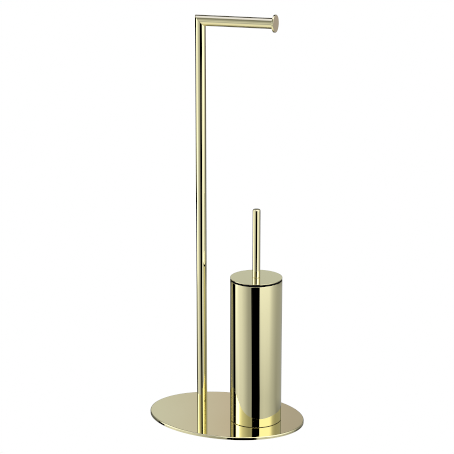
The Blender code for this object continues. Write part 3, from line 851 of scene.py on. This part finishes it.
def bristle_tufts():
    """Tufts of fine filaments set in rings round the hub, trimmed to the CAD head's outline."""
    low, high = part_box("bristles")
    centre = (low + high) / 2.0
    reach = (high.y - low.y) / 2.0
    height = high.z - low.z
    draw = random.Random(TUFT_SEED)
    points = []
    faces = []

    def quarter(size, off):
        """How far a quarter round of this size reaches at a distance from its centre."""
        return math.sqrt(max(size * size - off ** 2, 0.0))

    def trim(z):
        if z < TUFT_TIP:
            return reach - TUFT_TIP + quarter(TUFT_TIP, TUFT_TIP - z)
        if z > height - TUFT_SHOULDER:
            return reach - TUFT_SHOULDER + quarter(TUFT_SHOULDER, z - (height - TUFT_SHOULDER))
        return reach

    def filament(start, end):
        along = (end - start).normalized()
        side = along.orthogonal().normalized()
        other = along.cross(side)
        first = len(points)
        bend = (start + end) / 2.0 + side * draw.uniform(-STRAND_BEND, STRAND_BEND)
        stations = (start, bend, end - along * STRAND_RADIUS, end)
        for place, share in zip(stations, STRAND_WIDTHS):
            for corner in range(STRAND_SIDES):
                turn = 2.0 * math.pi * corner / STRAND_SIDES
                spoke = side * math.cos(turn) + other * math.sin(turn)
                points.append(tuple(place + spoke * STRAND_RADIUS * share))
        for level in range(len(stations) - 1):
            near = first + STRAND_SIDES * level
            far = near + STRAND_SIDES
            for corner in range(STRAND_SIDES):
                following = (corner + 1) % STRAND_SIDES
                faces.append((near + corner, near + following, far + following, far + corner))
        faces.append(tuple(first + corner for corner in reversed(range(STRAND_SIDES))))
        last = first + STRAND_SIDES * (len(stations) - 1)
        faces.append(tuple(last + corner for corner in range(STRAND_SIDES)))

    for row in range(TUFT_ROWS):
        root_z = TUFT_LOW + (height - TUFT_SPAN_CUT) * row / (TUFT_ROWS - 1)
        for step in range(TUFTS_ROUND):
            turn = 2.0 * math.pi * (step + 0.5 * (row % 2)) / TUFTS_ROUND
            for _ in range(TUFT_STRANDS):
                lean = draw.gauss(0.0, LEAN_SPREAD)
                rise = draw.gauss(0.0, RISE_SPREAD)
                end_z = root_z + rise
                if row == 0:
                    end_z -= LOW_ROW_DROOP * draw.random()
                end_z = min(max(end_z, STRAND_LOW), height - STRAND_TOP_GAP)
                radius = trim(end_z) - TRIM_GAP - abs(draw.gauss(0.0, TRIM_SPREAD))
                out = Vector((math.cos(turn), math.sin(turn), 0.0))
                tilted = Vector((math.cos(turn + lean), math.sin(turn + lean), 0.0))
                root_rise = Vector((0.0, 0.0, root_z + ROOT_RISE_SHARE * rise))
                root = out * (TUFT_HUB - TUFT_ROOT_DEPTH) + root_rise
                filament(root, tilted * radius + Vector((0.0, 0.0, end_z)))
    for ring, count in TIP_RINGS:
        for step in range(count):
            for _ in range(TUFT_STRANDS):
                turn = 2.0 * math.pi * (step + draw.random()) / count
                flare = ring / TIP_RING_WIDEST * draw.uniform(*TIP_FLARE)
                radius = TIP_INNER + TIP_REACH * flare
                past = max(radius - (reach - TUFT_TIP), 0.0)
                depth = TUFT_TIP - quarter(TUFT_TIP, past) + TRIM_GAP
                end = Vector((radius * math.cos(turn), radius * math.sin(turn), depth))
                root = Vector((ring * math.cos(turn), ring * math.sin(turn), TIP_ROOT_HEIGHT))
                filament(root, end)
    mesh = bpy.data.meshes.new("tufts")
    mesh.from_pydata(points, [], faces)
    place = (centre.x, 0.0, low.z)
    piece("bristle_tufts", mesh, BRISTLE, "brush_head", ["bristles"], place)


# ---------------------------------------------------------------- fasteners, stem and hub

SCREW_SHANK = 0.0025
SCREW_RELIEF = 0.0004
SCREW_END = 0.0005
HEAD_RIM_EDGE = 0.00012
HEAD_LAND_EDGE = 0.00008
NECK_BLEND = 0.00015
SOCKET_DEPTH = 0.0016
SOCKET_LEAD = 0.00025
SOCKET_CHAMFER = 0.0002
THREAD_DEPTH_SHARE = 0.55
POST_SCREW_PITCH = 0.0010
HOLDER_SCREW_PITCH = 0.0008
NUT_BORE = 0.0028
NUT_FACE_SHARE = 0.97
NUT_CHAMFER = 0.0004
NUT_CORNER_SLOPE = math.tan(math.radians(30.0))
WASHER_EDGE = 0.0001
WASHER_RIM_EDGE = 0.0003
STEM_PITCH = 0.0010
STEM_THREAD_DEPTH = 0.0005
STEM_THREAD_SHOWN = 0.012
STEM_CHAMFER = 0.0006
HUB_RADIUS = 0.008
HUB_FOOT_EDGE = 0.0008
HUB_NECK_BLEND = 0.0003
HUB_FLUTES = 12
FLUTE_DEPTH = 0.0005
FLUTE_ZONE = 0.0015
COLLAR_HEIGHT = 0.010
COLLAR_TAPER = 0.0020
COLLAR_TAPER_HEIGHT = 0.0030
COLLAR_TOP_EDGE = 0.0005
COLLAR_TAPER_BLEND = 0.0010
COLLAR_FOOT_EDGE = 0.0005
CORE_BORE_DEPTH = 0.016
CORE_BORE_EDGE = 0.0002


def screw(node, name, pitch):
    """A countersunk screw, head down, with a hexagon socket and a rolled thread."""
    low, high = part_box(node)
    centre = (low + high) / 2.0
    length = high.z - low.z
    head = (high.y - low.y) / 2.0
    shank = head / 2.0 if node == "post_screw" else SCREW_SHANK
    socket = head / 3.0
    cone = HEAD_LAND + (head - shank)
    thread_start = cone + SCREW_RELIEF
    thread_end = length - SCREW_END
    outline = filleted([
        (0.0, SOCKET_DEPTH, 0.0),
        (socket, SOCKET_DEPTH, 0.0),
        (socket, SOCKET_LEAD, 0.0),
        (socket + SOCKET_CHAMFER, 0.0, 0.0),
        (head, 0.0, HEAD_RIM_EDGE),
        (head, HEAD_LAND, HEAD_LAND_EDGE),
        (shank, cone, NECK_BLEND),
        *levels(shank, thread_start, thread_end, pitch),
        (shank - SCREW_END, length, 0.0),
        (0.0, length, 0.0),
    ])
    mesh = turned(outline, SMALL, hexagons=(socket,))
    threaded(mesh, thread_start, thread_end, pitch, THREAD_DEPTH_SHARE * pitch)
    piece(name, mesh, STEEL, "stand", [node], (centre.x, centre.y, low.z))


def hexagon_nut(node, name, body, bore):
    """A hexagon nut with its corners turned off at both faces."""
    low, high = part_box(node)
    centre = (low + high) / 2.0
    size = high - low
    half = min(size.x, size.y) / 2.0
    height = size.z
    face = NUT_FACE_SHARE * half
    outline = [
        (bore, NUT_CHAMFER),
        (bore, height - NUT_CHAMFER),
        (bore + NUT_CHAMFER, height),
        (face, height),
        (half, height),
        (half, 0.0),
        (face, 0.0),
        (bore + NUT_CHAMFER, 0.0),
    ]
    mesh = turned(outline, SMALL, closed=True, hexagons=(half,))
    for vertex in mesh.vertices:
        beyond = math.hypot(vertex.co.x, vertex.co.y) - face
        inward = 1.0 if vertex.co.z < height / 2.0 else -1.0
        if beyond > SAME_WALL:
            vertex.co.z += NUT_CORNER_SLOPE * beyond * inward
    piece(name, mesh, STEEL, body, [node], (centre.x, centre.y, low.z))


def lid_hardware():
    """The washer and nut under the lid, and the threaded stem."""
    low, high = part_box("lid_washer")
    centre = (low + high) / 2.0
    radius = (high.y - low.y) / 2.0
    outline = filleted([
        (STEM_HOLE, low.z, WASHER_EDGE),
        (radius, low.z, WASHER_RIM_EDGE),
        (radius, high.z, WASHER_EDGE),
        (STEM_HOLE, high.z, WASHER_EDGE),
    ], closed=True)
    washer = turned(outline, SMALL, closed=True)
    place = (centre.x, 0.0, 0.0)
    piece("lid_plain_washer", washer, STEEL, "brush", ["lid_washer"], place)
    hexagon_nut("lid_nut", "lid_hex_nut", "brush", STEM_HOLE)

    low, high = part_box("brush_stem")
    radius = (high.y - low.y) / 2.0
    length = high.z - low.z
    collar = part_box("brush_core")[1].z - low.z
    lower_thread = (STEM_CHAMFER, collar + STEM_THREAD_SHOWN / 2.0)
    upper_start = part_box("lid_nut")[0].z - low.z - STEM_THREAD_SHOWN
    upper_thread = (upper_start, length - STEM_CHAMFER)
    outline = filleted([
        (0.0, 0.0, 0.0),
        (radius - STEM_CHAMFER, 0.0, 0.0),
        *levels(radius, *lower_thread, STEM_PITCH),
        *levels(radius, *upper_thread, STEM_PITCH),
        (radius - STEM_CHAMFER, length, 0.0),
        (0.0, length, 0.0),
    ])
    stem = turned(outline, SMALL // 2)
    for start, end in (lower_thread, upper_thread):
        threaded(stem, start, end, STEM_PITCH, STEM_THREAD_DEPTH)
    place = (centre.x, 0.0, low.z)
    piece("threaded_stem", stem, STEEL, "brush", ["brush_stem"], place)


def brush_hub():
    """The moulded hub of the brush head, with grip flutes round its collar."""
    low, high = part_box("brush_core")
    centre = (low + high) / 2.0
    collar = (high.y - low.y) / 2.0
    height = high.z - low.z
    outline = filleted([
        (0.0, height - CORE_BORE_DEPTH, 0.0),
        (STEM_HOLE, height - CORE_BORE_DEPTH, 0.0),
        (STEM_HOLE, height, CORE_BORE_EDGE),
        (collar - COLLAR_TAPER, height, COLLAR_TOP_EDGE),
        (collar, height - COLLAR_TAPER_HEIGHT, COLLAR_TAPER_BLEND),
        (collar, height - COLLAR_HEIGHT, COLLAR_FOOT_EDGE),
        (HUB_RADIUS, height - COLLAR_HEIGHT, HUB_NECK_BLEND),
        (HUB_RADIUS, 0.0, HUB_FOOT_EDGE),
        (0.0, 0.0, 0.0),
    ])
    hub = turned(outline, SMALL)
    for vertex in hub.vertices:
        across = Vector(vertex.co[:2])
        proud = across.length - (collar - FLUTE_ZONE)
        if proud > 0.0 and vertex.co.z > height - COLLAR_HEIGHT:
            flute = max(math.cos(HUB_FLUTES * math.atan2(across.y, across.x)), 0.0)
            across *= 1.0 - min(proud, FLUTE_DEPTH) * flute / across.length
            vertex.co.x, vertex.co.y = across
    place = (centre.x, 0.0, low.z)
    piece("brush_hub", hub, PLASTIC, "brush_head", ["brush_core"], place)


def fittings():
    """The fasteners, and the finishes of the hidden pieces that keep their CAD shape."""
    screw("post_screw", "post_bolt", POST_SCREW_PITCH)
    for number in range(1, 4):
        screw(f"holder_screw_{number}", f"holder_bolt_{number}", HOLDER_SCREW_PITCH)
        hexagon_nut(f"holder_nut_{number}", f"holder_hex_nut_{number}", "stand", NUT_BORE)
    lid_hardware()
    brush_hub()
    for node in ("post_plug", "holder_floor", "handle_insert"):
        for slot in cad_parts[node].material_slots:
            slot.material = STEEL


base_plate()
plate_pads()
post_and_arm()
brush_holder()
inner_cup()
lid_and_handle()
bristle_tufts()
fittings()


# ---------------------------------------------------------------- floor, studio and camera


def studio_floor():
    """A plain white floor that the polished metal doesn't mirror."""
    mesh = bpy.data.meshes.new("floor")
    corners = [(x * FLOOR_HALF, y * FLOOR_HALF, 0.0) for x, y in ((-1, -1), (1, -1), (1, 1), (-1, 1))]
    mesh.from_pydata(corners, [], [(0, 1, 2, 3)])
    floor = bpy.data.objects.new("floor", mesh)
    bpy.context.scene.collection.objects.link(floor)
    material = bpy.data.materials.new("floor_white")
    material.use_nodes = True
    nodes = material.node_tree.nodes
    nodes.clear()
    light = nodes.new("ShaderNodeEmission")
    light.inputs["Color"].default_value = WHITE
    light.inputs["Strength"].default_value = 1.0
    output = nodes.new("ShaderNodeOutputMaterial")
    material.node_tree.links.new(light.outputs["Emission"], output.inputs["Surface"])
    mesh.materials.append(material)
    floor.visible_glossy = False
    floor.visible_shadow = False


def studio_world():
    """Bright panels and black flags round the object, by direction only, on a plain white ground."""
    world = bpy.data.worlds.new("studio")
    bpy.context.scene.world = world
    world.use_nodes = True
    tree = world.node_tree
    nodes = tree.nodes
    links = tree.links
    nodes.clear()
    direction = nodes.new("ShaderNodeTexCoord").outputs["Generated"]

    def dot(axis):
        made = nodes.new("ShaderNodeVectorMath")
        made.operation = "DOT_PRODUCT"
        links.new(direction, made.inputs[0])
        made.inputs[1].default_value = axis
        return made.outputs["Value"]

    def maths(operation, *values):
        made = nodes.new("ShaderNodeMath")
        made.operation = operation
        for socket, value in zip(made.inputs, values):
            links.new(value, socket)
        return made.outputs["Value"]

    def share(value, low, high):
        made = nodes.new("ShaderNodeMapRange")
        links.new(value, made.inputs["Value"])
        made.inputs["From Min"].default_value = low
        made.inputs["From Max"].default_value = high
        return made.outputs["Result"]

    toward = (math.sin(CAMERA_TURN), -math.cos(CAMERA_TURN), 0.0)
    right = (math.cos(CAMERA_TURN), math.sin(CAMERA_TURN), 0.0)
    azimuth = share(maths("ARCTAN2", dot(right), dot(toward)), -math.pi, math.pi)
    elevation = maths("ARCSINE", dot((0.0, 0.0, 1.0)))

    def ring(tint, stops):
        made = nodes.new("ShaderNodeValToRGB")
        links.new(azimuth, made.inputs["Fac"])
        elements = made.color_ramp.elements
        while len(elements) > 1:
            elements.remove(elements[-1])
        for number, (angle, level, *own_tint) in enumerate(stops):
            position = (angle + 180.0) / 360.0
            element = elements[0] if number == 0 else elements.new(position)
            element.position = position
            parts = own_tint[0] if own_tint else tint
            element.color = (*[level * part / LEVEL_RANGE for part in parts], 1.0)
        return made.outputs["Color"]

    total = None
    below = None
    for height, tint, stops in STUDIO:
        colour = ring(tint, stops)
        if total is None:
            total = colour
        else:
            mix = nodes.new("ShaderNodeMix")
            mix.data_type = "RGBA"
            factor = share(elevation, math.radians(below), math.radians(height))
            links.new(factor, mix.inputs[MIX_FACTOR])
            links.new(total, mix.inputs[MIX_FIRST])
            links.new(colour, mix.inputs[MIX_SECOND])
            total = mix.outputs[MIX_RESULT]
        below = height
    light = nodes.new("ShaderNodeBackground")
    links.new(total, light.inputs["Color"])
    light.inputs["Strength"].default_value = LEVEL_RANGE
    backdrop = nodes.new("ShaderNodeBackground")
    backdrop.inputs["Color"].default_value = WHITE
    chosen = nodes.new("ShaderNodeMixShader")
    links.new(nodes.new("ShaderNodeLightPath").outputs["Is Camera Ray"], chosen.inputs["Fac"])
    links.new(light.outputs["Background"], chosen.inputs[1])
    links.new(backdrop.outputs["Background"], chosen.inputs[2])
    output = nodes.new("ShaderNodeOutputWorld")
    links.new(chosen.outputs["Shader"], output.inputs["Surface"])


def camera():
    data = bpy.data.cameras.new("camera")
    data.sensor_width = CAMERA_SENSOR
    data.lens = CAMERA_LENS
    data.clip_end = CAMERA_CLIP_END
    made = bpy.data.objects.new("camera", data)
    bpy.context.scene.collection.objects.link(made)
    made.location = CAMERA_PLACE
    made.rotation_euler = (0.5 * math.pi - CAMERA_PITCH, 0.0, CAMERA_TURN)
    bpy.context.scene.camera = made


studio_floor()
studio_world()
camera()
bpy.context.scene.view_settings.view_transform = "Standard"
bpy.context.scene.cycles.pixel_filter_type = "BOX"
bpy.context.scene.cycles.filter_width = FILTER_WIDTH
